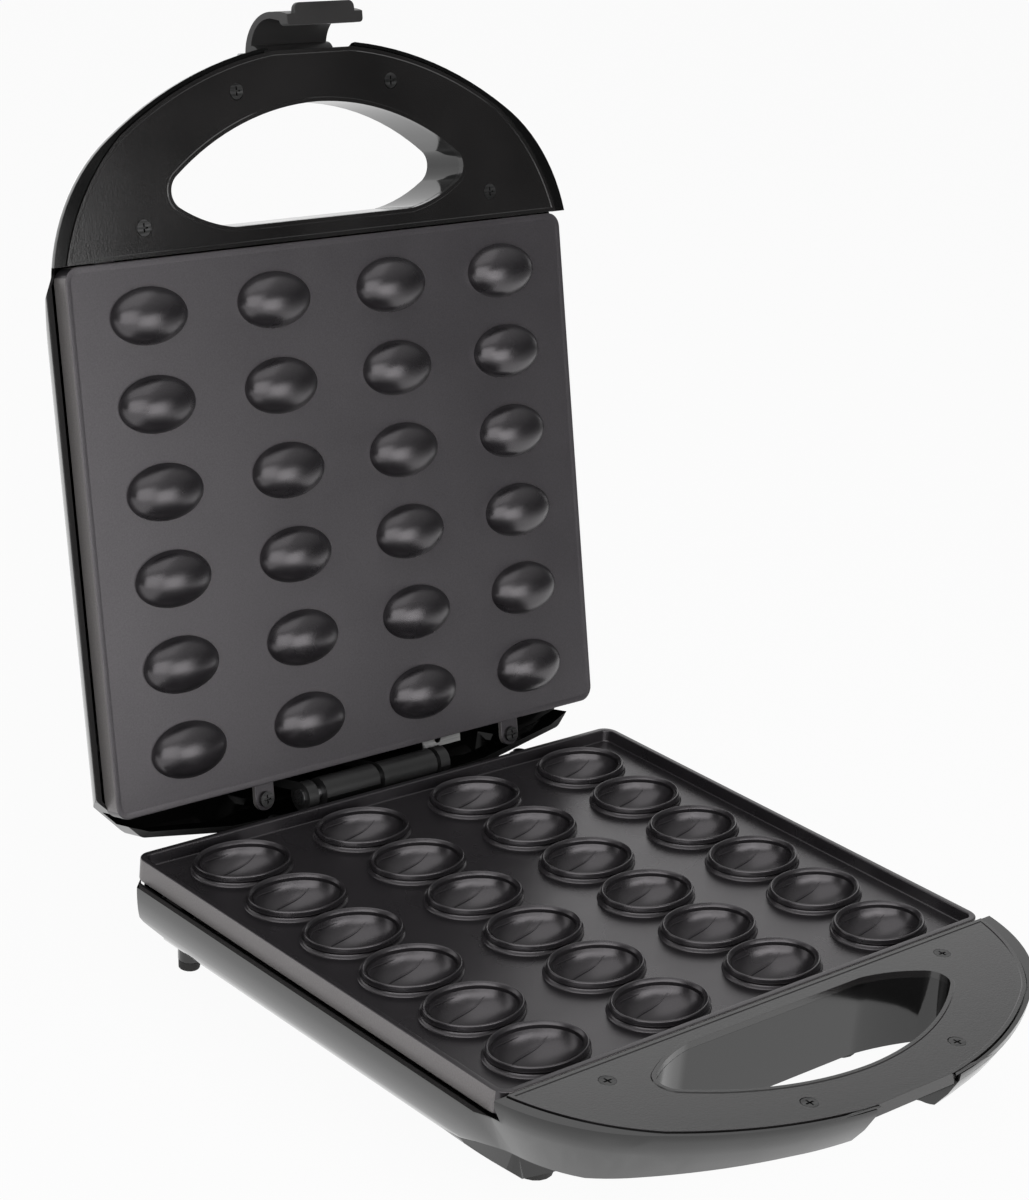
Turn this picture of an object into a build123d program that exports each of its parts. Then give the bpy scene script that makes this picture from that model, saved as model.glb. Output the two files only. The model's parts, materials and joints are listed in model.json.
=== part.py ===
from build123d import *
import math
import os

os.makedirs("parts", exist_ok=True)

# Electric nut cookie maker, shown open as it stands on a table.
# Every piece is drawn with the lid shut: X to the right, Y to the back, Z up,
# and the joint between the two halves at height zero.

# Heights in the shut machine, measured away from the joint between the halves
stand_height = 58.0
hinge_y = 115.5
open_angle = 104.2
middle_y = -12.17

# Cooking plates
plate_length = 252.0
plate_depth = 213.0
plate_corner = 6.0
plate_bead = 3.2
plate_wall = 3.0
rim_gap = 0.3
skirt_wall = 2.5
lower_floor = 5.3
lower_skirt = 9.3
upper_floor = 0.5
upper_skirt = 8.3

# Nut moulds
columns = 4
rows = 6
column_pitch = 60.0
row_pitch = 34.0
mould_sides = 10
dome_half_length = 17.5
dome_half_width = 11.2
dome_height = 8.5
bowl_half_length = 18.25
bowl_half_width = 13.0
bowl_depth = 11.2
collar_half_length = 21.4
collar_half_width = 16.2
collar_top = 1.36

# Housings
body_half = 130.5
body_front = -184.5
body_rear = 127.0
side_round = 50.0
wall = 2.5
rear_corner = 5.0
rear_round_top = -14.0
handle_start = -107.0
handle_top = 0.8
above_joint = 12.0
lower_depth = 50.0
lower_rim = 10.0
upper_depth = 40.0
upper_rim = 7.3

# How far down each side of the handle leans inwards, and by how many degrees
lower_leans = [(3.5, 5), (11, 28), (30, 36), (33, 70)]
lower_inner_leans = [(9.6, 12), (29, 40), (32, 70)]
upper_leans = [(3, 8), (9, 32), (40, 55)]
upper_inner_leans = [(8.6, 13), (38, 60)]

# Handle covers and the hand holes
cover_thick = 2.8
cover_recess = 1.9
cover_bottom = rim_gap + cover_thick
cover_back = -107.2
hole_end_radius = 7.5
notch_half = 22.0
notch_back = -166.0
catch_face = -181.8

# Hinge
knuckle_radius = 6.25
hinge_pin_radius = 2.5
running_gap = 0.05

# Latch
latch_y = -180.0
latch_z = 15.0
latch_half = 19.0
latch_pin_radius = 1.5

# Screws
screw_head = 3.2
screw_shank = 1.45
screw_hole = 1.6
screw_length = 8.0

handle_screw_points = [(-88.1, -118.3), (88.1, -118.3), (-39.0, -167.0), (39.0, -167.0)]
rear_tab_points = [(-51.0, 114.25), (82.0, 114.25)]
front_tab_points = [(-104.0, -114.75), (104.0, -114.75)]
tab_points = rear_tab_points + front_tab_points

lamp_points = [(-12.0, -70.0), (12.0, -70.0)]
lens_radius = 4.0
front_foot_points = [(-81.0, -81.0), (81.0, -81.0)]
rear_foot_points = [(-95.0, 108.0), (95.0, 108.0)]


def keep(solid, name, turned_over=False, on_lid=False):
    """Name a piece, set it in the open machine on the table and save it."""
    if turned_over:
        solid = mirror(solid, about=Plane.XY)
    if on_lid:
        solid = solid.rotate(Axis((0, hinge_y, 0), (1, 0, 0)), -open_angle)
    solid = solid.moved(Location((0, middle_y, stand_height)))
    solid.label = name
    export_step(solid, "parts/" + name + ".step")


def oval(half_length, half_width, sides):
    """Corner points of a flat-sided oval."""
    step = 2 * math.pi / sides
    turns = [step * (i + 0.5) for i in range(sides)]
    return [(half_length * math.cos(t), half_width * math.sin(t)) for t in turns]


def facing_down(height):
    """A drawing plane at this height that looks down, away from the joint."""
    return Plane(origin=(0, 0, height), x_dir=(1, 0, 0), z_dir=(0, 0, -1))


def front_bow(inset):
    """Front edge of the handle, from the middle to the right side."""
    i = inset
    ThreePointArc((0, body_front + i), (60 - 0.3 * i, -173.9 + i), (100 - 0.6 * i, -153 + 0.8 * i))
    ThreePointArc(
        (100 - 0.6 * i, -153 + 0.8 * i), (119 - 0.8 * i, -134 + 0.6 * i), (body_half - i, -104)
    )


def housing_plan(inset):
    """Outline of a housing seen from above: bow-shaped handle in front."""
    i = inset
    with BuildSketch(mode=Mode.PRIVATE) as plan:
        with BuildLine():
            front_bow(i)
            Polyline((body_half - i, -104), (body_half - i, 98), (111 - i, 117 - i))
            Polyline((111 - i, 117 - i), (68, 124.3 - i), (0, body_rear - i))
            mirror(about=Plane.YZ)
        make_face()
        corners = plan.vertices().filter_by(lambda v: abs(v.X) > 105 and v.Y > 90)
        fillet(corners, rear_corner)
    return plan.sketch


def wide_plan(inset):
    """The same front edge, but clear of the body at the sides and back."""
    i = inset
    with BuildSketch(mode=Mode.PRIVATE) as plan:
        with BuildLine():
            front_bow(i)
            Polyline((body_half - i, -104), (138 - i, -88), (150 - i, -55), (150 - i, 60))
            Polyline((150 - i, 60), (143 - i, 106), (124 - i, 131), (60, 150), (0, 150))
            mirror(about=Plane.YZ)
        make_face()
    return plan.sketch


def leaning_space(plan, leans):
    """Space below an outline whose sides lean inwards more and more with depth."""
    with BuildPart(mode=Mode.PRIVATE) as space:
        with BuildSketch(Plane.XY.offset(-above_joint)):
            add(plan)
        extrude(amount=above_joint)
        done = 0
        for level, lean in leans:
            extrude(space.faces().sort_by(Axis.Z)[-1], amount=level - done, taper=lean)
            done = level
        extrude(space.faces().sort_by(Axis.Z)[-1], amount=60 - done)
        mirror(about=Plane.XY, mode=Mode.REPLACE)
    return space.part


def cover_plan(grow):
    """Outline of a handle cover, without its holes."""
    g = grow
    with BuildSketch(mode=Mode.PRIVATE) as plan:
        with BuildLine():
            ThreePointArc((0, -183 - g), (60 + 0.3 * g, -171.9 - g), (95 + 0.5 * g, -153.8 - 0.8 * g))
            ThreePointArc(
                (95 + 0.5 * g, -153.8 - 0.8 * g), (113.5 + 0.8 * g, -132.8 - 0.6 * g), (124.5 + g, cover_back)
            )
            Polyline((124.5 + g, cover_back), (0, cover_back))
            mirror(about=Plane.YZ)
        make_face()
    return plan.sketch


def hand_hole_plan():
    """Outline of the hole for the fingers, flat at the back and bowed in front."""
    with BuildSketch(mode=Mode.PRIVATE) as plan:
        with BuildLine():
            Line((0, -115), (45, -115))
            ThreePointArc((45, -115), (61.5, -119.6), (78.8, -130.5))
            ThreePointArc((78.8, -130.5), (45, -151.8), (0, -161))
            mirror(about=Plane.YZ)
        make_face()
        fillet(plan.vertices().filter_by(lambda v: abs(v.X) > 75), hole_end_radius)
    return plan.sketch


def housing_form(depth, centre_x, round_z, grip, knee, leans, inset):
    """Solid shape of one half: plan, rounded sides and stepped handle in one."""
    i = inset
    half_turn = math.sqrt(0.5)
    r = side_round - i
    plan = housing_plan(i)
    lean = leaning_space(wide_plan(i), leans)
    with BuildPart(mode=Mode.PRIVATE) as form:
        with BuildSketch(Plane.XY.offset(above_joint)):
            add(plan)
        extrude(amount=-(depth + above_joint - i))
        with BuildSketch(Plane.XZ):
            with BuildLine():
                Polyline((0, above_joint), (centre_x + r, above_joint), (centre_x + r, round_z))
                ThreePointArc(
                    (centre_x + r, round_z),
                    (centre_x + r * half_turn, round_z - r * half_turn),
                    (centre_x, round_z - r),
                )
                Line((centre_x, round_z - r), (0, round_z - r))
                mirror(about=Plane.YZ)
            make_face()
        extrude(amount=260, both=True, mode=Mode.INTERSECT)
        with BuildSketch(Plane.YZ):
            with BuildLine():
                bottom = i - depth
                rear = body_rear - i
                tail = rear_round_top - bottom
                Polyline((rear, above_joint), (rear, rear_round_top))
                ThreePointArc(
                    (rear, rear_round_top),
                    (rear - tail * (1 - half_turn), rear_round_top - tail * half_turn),
                    (rear - tail, bottom),
                )
                Polyline((rear - tail, bottom), (-90, bottom), (-115 + i, i - knee), (-168, i - grip))
                ThreePointArc((-168, i - grip), (i - 179.6, (i - grip) * 0.72), (body_front + i, -3))
                Polyline((body_front + i, -3), (body_front + i, above_joint), (rear, above_joint))
            make_face()
        extrude(amount=260, both=True, mode=Mode.INTERSECT)
        add(lean, mode=Mode.INTERSECT)
    return form.part


def housing_hollow(depth, centre_x, round_z, grip, knee, leans):
    """Space inside a housing, flat-sided so that the wall is thickest at the corners."""
    side = side_round - wall
    turns = [math.pi * i / 8 for i in range(5)]
    bend = [(centre_x + side * math.cos(t), round_z - side * math.sin(t)) for t in turns]
    floor = wall - depth
    front = [(0, -181.6), (32, -178.6), (62, -170), (97, -151.7)]
    corner = [(110.7, -140), (119, -128.7), (124.8, -116), (127.6, -104)]
    with BuildSketch(mode=Mode.PRIVATE) as wide:
        with BuildLine():
            Polyline(*front, *corner, (135, -88), (147, -55), (147, 60))
            Polyline((147, 60), (140, 104), (121, 129), (58, 147), (0, 147))
            mirror(about=Plane.YZ)
        make_face()
    lean = leaning_space(wide.sketch, leans)
    with BuildPart(mode=Mode.PRIVATE) as hollow:
        with BuildSketch(Plane.XY.offset(above_joint)):
            with BuildLine():
                Polyline(*front, (112, -131.5), (122.8, handle_start), (128, handle_start), (128, 98))
                Polyline((128, 98), (120, 110), (107, 115.4), (67.5, 121.9), (0, 124.5))
                mirror(about=Plane.YZ)
            make_face()
        extrude(amount=-(depth + above_joint - wall))
        with BuildSketch(Plane.XZ):
            with BuildLine():
                Polyline((0, above_joint), (centre_x + side, above_joint), *bend, (0, floor))
                mirror(about=Plane.YZ)
            make_face()
        extrude(amount=260, both=True, mode=Mode.INTERSECT)
        with BuildSketch(Plane.YZ):
            with BuildLine():
                rear = body_rear - wall
                tail = depth + rear_round_top - wall
                middle = (rear - tail * 0.293, rear_round_top - tail * 0.707)
                Polyline((rear, above_joint), (rear, rear_round_top), middle, (rear - tail, floor))
                Polyline((rear - tail, floor), (-89, floor), (-114, wall - knee), (-168, wall - grip))
                Polyline((-168, wall - grip), (-178, wall - 0.72 * grip), (-182, -3), (-182, above_joint))
                Line((-182, above_joint), (rear, above_joint))
            make_face()
        extrude(amount=260, both=True, mode=Mode.INTERSECT)
        add(lean, mode=Mode.INTERSECT)
    return hollow.part


def post(points, top, radius, sides=6):
    """Screw posts standing on the inside of a housing."""
    with BuildPart(mode=Mode.PRIVATE) as posts:
        with BuildSketch(facing_down(-top)):
            with Locations(*[(x, -y) for x, y in points]):
                RegularPolygon(radius, sides)
        extrude(amount=70)
    return posts.part


def housing(depth, centre_x, round_z, grip, knee, leans, inner_leans, rim, tab_top, arms):
    """Hollow shell with screw posts, hand hole wall, latch pocket and hinge arms."""
    outer = housing_form(depth, centre_x, round_z, grip, knee, leans, 0)
    inner = housing_hollow(depth, centre_x, round_z, grip, knee, inner_leans)
    lining = housing_form(depth, centre_x, round_z, grip, knee, leans, 1.0)
    cover_seat_plan = cover_plan(rim_gap)
    hand_hole = hand_hole_plan()
    cover_posts = post(handle_screw_points, cover_bottom, 4.2)
    tab_posts = post(tab_points, tab_top, 4.4)

    with BuildPart(mode=Mode.PRIVATE) as hollow:
        add(inner)
        with BuildSketch(Plane.XY.offset(above_joint)):
            add(cover_seat_plan)
        extrude(amount=-(above_joint + cover_bottom))

    with BuildPart(mode=Mode.PRIVATE) as fittings:
        add(cover_posts)
        add(tab_posts)
        # Wall round the hand hole
        with BuildSketch(Plane.XY.offset(-cover_bottom)):
            with BuildLine():
                Polyline((0, -112.2), (47, -112.2), (64, -116.6), (82, -130), (52, -154.5))
                Polyline((52, -154.5), (26, -162.9), (0, -165))
                mirror(about=Plane.YZ)
            make_face()
        extrude(amount=-70)
        # Walls of the latch pocket
        with BuildSketch(facing_down(-cover_bottom)):
            with Locations((0, 174)):
                Rectangle(2 * notch_half + 10, 30)
        extrude(amount=70)
        # Hinge arms
        for start, end in arms:
            with Locations(((start + end) / 2, hinge_y - knuckle_radius + 2, -30)):
                Box(end - start, 4, 60)
        add(lining, mode=Mode.INTERSECT)

    with BuildPart(mode=Mode.PRIVATE) as shell:
        add(outer)
        add(hollow.part, mode=Mode.SUBTRACT)
        add(fittings.part)
        # The rim beside the plate stands lower than the handle.
        with Locations((0, handle_start + 150, 20 - rim)):
            Box(300, 300, 40, mode=Mode.SUBTRACT)
        with Locations((0, handle_start - 50, 20 - handle_top)):
            Box(300, 100, 40, mode=Mode.SUBTRACT)
        with BuildSketch(Plane.XY.offset(above_joint)):
            add(hand_hole)
        extrude(amount=-80, mode=Mode.SUBTRACT)
        # Pocket for the latch in the front of the handle
        with Locations((0, notch_back - 20, -20)):
            Box(2 * notch_half, 40, 80, mode=Mode.SUBTRACT)
        # Screw holes
        for points, top in ((handle_screw_points, cover_bottom), (tab_points, tab_top)):
            with BuildSketch(facing_down(-top)):
                with Locations(*[(x, -y) for x, y in points]):
                    RegularPolygon(screw_hole, 6)
            extrude(amount=screw_length - 0.5, mode=Mode.SUBTRACT)
        # Hinge knuckles on their arms
        for start, end in arms:
            with BuildSketch(Plane.YZ.offset(start)):
                with Locations((hinge_y, 0)):
                    RegularPolygon(knuckle_radius, 16)
                with Locations((hinge_y - knuckle_radius + 2, -rim / 2 - 0.5)):
                    Rectangle(4, rim + 1)
            extrude(amount=end - start)
            with BuildSketch(Plane.YZ.offset(start)):
                with Locations((hinge_y, 0)):
                    Circle(hinge_pin_radius + running_gap)
            extrude(amount=end - start, mode=Mode.SUBTRACT)
    return shell.part


# Base shell, with legs at the back and pads for the front feet
base_arms = [(-29, -1), (32, 37)]
base_leans = (lower_leans, lower_inner_leans)
base_shell = housing(lower_depth, 80.5, 0.0, 19.0, 33.0, *base_leans, lower_rim, lower_skirt, base_arms)

with BuildPart() as lower_housing:
    add(base_shell)
    with BuildSketch(facing_down(-40)):
        with Locations(*[(x, -y) for x, y in rear_foot_points]):
            RegularPolygon(9, 12)
    extrude(amount=14, taper=6)
    with BuildSketch(facing_down(-48)):
        with Locations(*[(x, -y) for x, y in front_foot_points]):
            RegularPolygon(9, 12)
    extrude(amount=4)
    # The back wall is lower between the corners so that the open lid clears it.
    with Locations((0, 128, -10.5)):
        Box(172, 16, 14, mode=Mode.SUBTRACT)
    # Hole for the cord bushing
    with BuildSketch(Plane.XZ.offset(-140)):
        with Locations((60, -27)):
            RegularPolygon(5.2, 12)
    extrude(amount=22, mode=Mode.SUBTRACT)
keep(lower_housing.part, "lower_housing")

# Lid shell, drawn upside down like the base and turned over when kept
lid_arms = [(1.5, 30), (-38, -33)]
lid_leans = (upper_leans, upper_inner_leans)
lid_shell = housing(upper_depth, 83.6, 10.0, 20.0, 25.0, *lid_leans, upper_rim, upper_skirt, lid_arms)

with BuildPart() as upper_housing:
    add(lid_shell)
    # Hole for the latch pin
    with BuildSketch(Plane.YZ.offset(-26)):
        with Locations((latch_y, -latch_z)):
            Circle(latch_pin_radius + running_gap)
    extrude(amount=52, mode=Mode.SUBTRACT)
    # Seats for the two lamp lenses
    with BuildSketch(facing_down(-upper_depth + 6)):
        with Locations(*[(x, -y) for x, y in lamp_points]):
            RegularPolygon(lens_radius + 0.1, 12)
    extrude(amount=8, mode=Mode.SUBTRACT)
keep(upper_housing.part, "upper_housing", turned_over=True, on_lid=True)


def handle_cover():
    """Flat cover over the handle with recessed screw holes and a front notch."""
    outline = mirror(cover_plan(0), about=Plane.XZ)
    hand_hole = mirror(hand_hole_plan(), about=Plane.XZ)
    with BuildPart(mode=Mode.PRIVATE) as cover:
        with BuildSketch(facing_down(-rim_gap)):
            add(outline)
            add(hand_hole, mode=Mode.SUBTRACT)
            with Locations((0, -catch_face + 5)):
                Rectangle(2 * notch_half - 2, 10, mode=Mode.SUBTRACT)
        extrude(amount=cover_thick)
        with BuildSketch(facing_down(-rim_gap)):
            with Locations(*[(x, -y) for x, y in handle_screw_points]):
                RegularPolygon(screw_head + 0.2, 12)
        extrude(amount=cover_recess, mode=Mode.SUBTRACT)
        with BuildSketch(facing_down(-rim_gap)):
            with Locations(*[(x, -y) for x, y in handle_screw_points]):
                RegularPolygon(screw_hole, 6)
        extrude(amount=cover_thick, mode=Mode.SUBTRACT)
    return cover.part


base_cover = handle_cover()
lid_cover = handle_cover()

# Base handle cover, with the ledge that the latch hooks under
with BuildPart() as lower_handle_cover:
    add(base_cover)
    with Locations((0, catch_face + 1.75, -2.8)):
        Box(2 * notch_half - 2, 3.5, 4.4)
keep(lower_handle_cover.part, "lower_handle_cover")

with BuildPart() as upper_handle_cover:
    add(lid_cover)
keep(upper_handle_cover.part, "upper_handle_cover", turned_over=True, on_lid=True)


def cooking_plate(floor, skirt):
    """Plate with a raised bead, a hollow back and four screw tabs."""
    with BuildPart(mode=Mode.PRIVATE) as plate:
        with BuildSketch(facing_down(-rim_gap)):
            RectangleRounded(plate_length, plate_depth, plate_corner)
        extrude(amount=skirt - rim_gap)
        with BuildSketch(facing_down(-rim_gap)):
            RectangleRounded(plate_length - 2 * plate_bead, plate_depth - 2 * plate_bead, 3)
        extrude(amount=floor - rim_gap, mode=Mode.SUBTRACT)
        with BuildSketch(facing_down(-floor - plate_wall)):
            Rectangle(plate_length - 2 * skirt_wall, plate_depth - 2 * skirt_wall)
        extrude(amount=skirt, mode=Mode.SUBTRACT)
        with BuildSketch(Plane.XY.offset(-skirt)) as tabs:
            for x, y in tab_points:
                side = math.copysign(1, y)
                with Locations((x, y)):
                    RegularPolygon(4.75, 8)
                with Locations((x, y - side * 4.6)):
                    Rectangle(9.2, 9.2)
        extrude(amount=2)
        with BuildSketch(Plane.XY.offset(-skirt)):
            with Locations(*tab_points):
                RegularPolygon(screw_hole, 6)
        extrude(amount=2, mode=Mode.SUBTRACT)
    return plate.part


# Moulding domes on the lid plate
with BuildPart(mode=Mode.PRIVATE) as dome:
    with BuildSketch():
        Polygon(*oval(dome_half_length, dome_half_width, mould_sides), align=None)
    extrude(amount=dome_height * 0.65, taper=20)
    extrude(dome.faces().sort_by(Axis.Z)[-1], amount=dome_height * 0.35, taper=50)

lid_pan = cooking_plate(upper_floor, upper_skirt)

with BuildPart() as upper_baking_plate:
    add(lid_pan)
    with Locations((0, 0, -upper_floor)):
        with GridLocations(column_pitch, row_pitch, columns, rows):
            add(dome.part)
keep(upper_baking_plate.part, "upper_baking_plate", turned_over=True, on_lid=True)

# Bowls in the base plate: raised collar and hollow
with BuildPart(mode=Mode.PRIVATE) as bowl:
    with BuildSketch(Plane.XY.offset(collar_top)):
        Polygon(*oval(bowl_half_length, bowl_half_width, mould_sides), align=None)
    extrude(amount=bowl_depth * 0.62, taper=18)
    extrude(bowl.faces().sort_by(Axis.Z)[-1], amount=bowl_depth * 0.38, taper=48)
    mirror(about=Plane.XY, mode=Mode.REPLACE)

# Each column of bowls shares one cast trough below the plate.
with BuildPart(mode=Mode.PRIVATE) as trough:
    with BuildSketch(Plane.XY.offset(lower_floor + plate_wall)):
        Rectangle(2 * bowl_half_length + 4.5, (rows - 1) * row_pitch + 2 * bowl_half_width + 4)
    extrude(amount=7.7, taper=20)
    mirror(about=Plane.XY, mode=Mode.REPLACE)

with BuildPart(mode=Mode.PRIVATE) as collar:
    with BuildSketch(Plane.XY.offset(-lower_floor)):
        Polygon(*oval(collar_half_length, collar_half_width, mould_sides), align=None)
    extrude(amount=lower_floor - collar_top, taper=20)

base_pan = cooking_plate(lower_floor, lower_skirt)

with BuildPart() as lower_baking_plate:
    add(base_pan)
    with GridLocations(column_pitch, row_pitch, columns, rows):
        add(collar.part)
    with GridLocations(column_pitch, 1, columns, 1):
        add(trough.part)
    with GridLocations(column_pitch, row_pitch, columns, rows):
        add(bowl.part, mode=Mode.SUBTRACT)
keep(lower_baking_plate.part, "lower_baking_plate")


def screws(points, seat, sides):
    """Identical screws whose heads sit on this depth and point at the joint."""
    with BuildPart(mode=Mode.PRIVATE) as group:
        for x, y in points:
            with BuildSketch(Plane.XY.offset(-seat)):
                with Locations((x, y)):
                    RegularPolygon(screw_head, sides)
            extrude(amount=1.6, taper=15)
            with BuildSketch(facing_down(-seat)):
                with Locations((x, -y)):
                    RegularPolygon(screw_shank, 6)
            extrude(amount=screw_length)
    return group.part


cover_seat = rim_gap + cover_recess

lower_handle_screws = screws(handle_screw_points, cover_seat, 12)
keep(lower_handle_screws, "lower_handle_screws")

upper_handle_screws = screws(handle_screw_points, cover_seat, 12)
keep(upper_handle_screws, "upper_handle_screws", turned_over=True, on_lid=True)

lower_plate_screws = screws(tab_points, lower_skirt - 2, 8)
keep(lower_plate_screws, "lower_plate_screws")

upper_plate_screws = screws(tab_points, upper_skirt - 2, 8)
keep(upper_plate_screws, "upper_plate_screws", turned_over=True, on_lid=True)

# Hinge pin through all four knuckles, with a head at one end
with BuildPart() as hinge_pin:
    with BuildSketch(Plane.YZ.offset(-38.4)):
        with Locations((hinge_y, 0)):
            Circle(hinge_pin_radius)
    extrude(amount=76)
    with BuildSketch(Plane.YZ.offset(-38.8)):
        with Locations((hinge_y, 0)):
            RegularPolygon(3.4, 12)
    extrude(amount=0.7)
keep(hinge_pin.part, "hinge_pin")

# Latch: a curved sheet that swings on the lid, with a hook and a thumb tab
with BuildPart() as latch:
    with BuildSketch(Plane.YZ.offset(-latch_half)) as side:
        with BuildLine():
            ThreePointArc((-181, 19.6), (-192, 14), (-196.4, 0))
            ThreePointArc((-196.4, 0), (-196.1, -5), (-195, -9.3))
            Polyline((-195, -9.3), (-190.5, -9.3), (-190.5, -5), (-192.8, -4), (-193.6, 0))
            ThreePointArc((-193.6, 0), (-190, 12), (-181.5, 15.5))
            Line((-181.5, 15.5), (-181, 19.6))
        make_face()
        with Locations((latch_y, latch_z)):
            Circle(4.2)
    extrude(amount=2 * latch_half)
    with BuildSketch(Plane.YZ.offset(-latch_half + 4)):
        Polygon((-194.5, -6.8), (-199.3, -7.5), (-199.3, -9.3), (-194.5, -9.3), align=None)
    extrude(amount=2 * latch_half - 8)
    with BuildSketch(Plane.YZ.offset(-latch_half)):
        with Locations((latch_y, latch_z)):
            Circle(latch_pin_radius + running_gap)
    extrude(amount=2 * latch_half, mode=Mode.SUBTRACT)
keep(latch.part, "latch", on_lid=True)

with BuildPart() as latch_pin:
    with BuildSketch(Plane.YZ.offset(-25.5)):
        with Locations((latch_y, latch_z)):
            Circle(latch_pin_radius)
    extrude(amount=51)
keep(latch_pin.part, "latch_pin", on_lid=True)

# Rubber feet
with BuildPart() as front_feet:
    with BuildSketch(facing_down(-52)):
        with Locations(*[(x, -y) for x, y in front_foot_points]):
            RegularPolygon(8, 16)
    extrude(amount=6, taper=8)
keep(front_feet.part, "front_feet")

with BuildPart() as rear_feet:
    with BuildSketch(facing_down(-54)):
        with Locations(*[(x, -y) for x, y in rear_foot_points]):
            RegularPolygon(6.5, 16)
    extrude(amount=4, taper=6)
keep(rear_feet.part, "rear_feet")


def heating_element(depth):
    """Tube heater bent to a U behind a plate."""
    turns = [math.radians(a) for a in (-75, -45, -15, 15, 45, 75)]
    bend = [(-104, -51), (84, -51)]
    bend += [(84 + 16 * math.cos(t), -35 + 16 * math.sin(t)) for t in turns[:3]]
    bend += [(84 + 16 * math.cos(t), 35 + 16 * math.sin(t)) for t in turns[3:]]
    bend += [(84, 51), (-104, 51)]
    with BuildPart(mode=Mode.PRIVATE) as tube:
        with BuildLine(Plane.XY.offset(-depth)) as path:
            Polyline(*bend)
        with BuildSketch(Plane(origin=path.line @ 0, z_dir=path.line % 0)):
            RegularPolygon(3.2, 8)
        sweep(path=path.line, transition=Transition.RIGHT)
    return tube.part


lower_heating_element = heating_element(19.3)
keep(lower_heating_element, "lower_heating_element")

upper_heating_element = heating_element(6.9)
keep(upper_heating_element, "upper_heating_element", turned_over=True, on_lid=True)


def heat_reflector(depth):
    """Thin tray behind a heating element."""
    with BuildPart(mode=Mode.PRIVATE) as tray:
        with Locations((0, 0, -depth)):
            Box(218, 178, 6, align=(Align.CENTER, Align.CENTER, Align.MIN))
        with Locations((0, 0, -depth + 0.8)):
            Box(216.4, 176.4, 6, align=(Align.CENTER, Align.CENTER, Align.MIN), mode=Mode.SUBTRACT)
    return tray.part


lower_heat_reflector = heat_reflector(26)
keep(lower_heat_reflector, "lower_heat_reflector")

upper_heat_reflector = heat_reflector(18)
keep(upper_heat_reflector, "upper_heat_reflector", turned_over=True, on_lid=True)


def disc(points, start, length, radius, sides):
    """Flat-sided discs or rods standing away from the joint."""
    with BuildPart(mode=Mode.PRIVATE) as discs:
        with BuildSketch(facing_down(-start)):
            with Locations(*[(x, -y) for x, y in points]):
                RegularPolygon(radius, sides)
        extrude(amount=length)
    return discs.part


# Thermostats pressed to the backs of the plates, each with a thermal fuse
lower_back = lower_floor + plate_wall
upper_back = upper_floor + plate_wall

lower_thermostat = disc([(0, 0)], lower_back, 6, 8, 12) + disc([(0, 0)], lower_back + 6, 3, 4, 8)
keep(lower_thermostat, "lower_thermostat")

upper_thermostat = disc([(0, 0)], upper_back, 6, 8, 12) + disc([(0, 0)], upper_back + 6, 3, 4, 8)
keep(upper_thermostat, "upper_thermostat", turned_over=True, on_lid=True)

lower_thermal_fuse = disc([(60, 0)], lower_back, 14, 2.5, 8)
keep(lower_thermal_fuse, "lower_thermal_fuse")

upper_thermal_fuse = disc([(60, 0)], upper_back, 8, 2.5, 8)
keep(upper_thermal_fuse, "upper_thermal_fuse", turned_over=True, on_lid=True)

# Lamps that show power and heat, behind two lenses in the top of the lid
indicator_lenses = disc(lamp_points, upper_depth - 5, 6.2, lens_radius, 12)
keep(indicator_lenses, "indicator_lenses", turned_over=True, on_lid=True)

indicator_lamps = disc(lamp_points, upper_depth - 17, 12, 2.5, 8)
keep(indicator_lamps, "indicator_lamps", turned_over=True, on_lid=True)

# Terminal block on the floor of the base
with BuildPart() as terminal_block:
    with Locations((-60, 70, wall - lower_depth + 6)):
        Box(36, 18, 12)
    with Locations((-60, 70, wall - lower_depth + 12)):
        with GridLocations(12, 1, 3, 1):
            Box(8, 10, 6, mode=Mode.SUBTRACT)
keep(terminal_block.part, "terminal_block")

# Bushing in the back wall where the supply enters
with BuildPart() as cord_bushing:
    with BuildSketch(Plane.XZ.offset(-129)):
        with Locations((60, -27)):
            RegularPolygon(6.8, 12)
    extrude(amount=1.8)
    with BuildSketch(Plane.XZ.offset(-129)):
        with Locations((60, -27)):
            RegularPolygon(5, 12)
    extrude(amount=9)
    with BuildSketch(Plane.XZ.offset(-129)):
        with Locations((60, -27)):
            RegularPolygon(3.2, 12)
    extrude(amount=9, mode=Mode.SUBTRACT)
keep(cord_bushing.part, "cord_bushing")

# Bracket that holds the leads of the lid plate beside the hinge
with BuildPart() as lead_clamp:
    with BuildSketch(facing_down(-upper_skirt)) as bracket:
        with Locations((45, -106)):
            Rectangle(21, 12)
        chamfer(bracket.vertices().filter_by(lambda v: v.Y > 110), 4)
        with Locations((43, -108.8)):
            RegularPolygon(1.8, 10, mode=Mode.SUBTRACT)
    extrude(amount=1.2)
keep(lead_clamp.part, "lead_clamp", turned_over=True, on_lid=True)
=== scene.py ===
import bmesh
import bpy
import json
import math
from mathutils import Matrix, Vector

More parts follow.
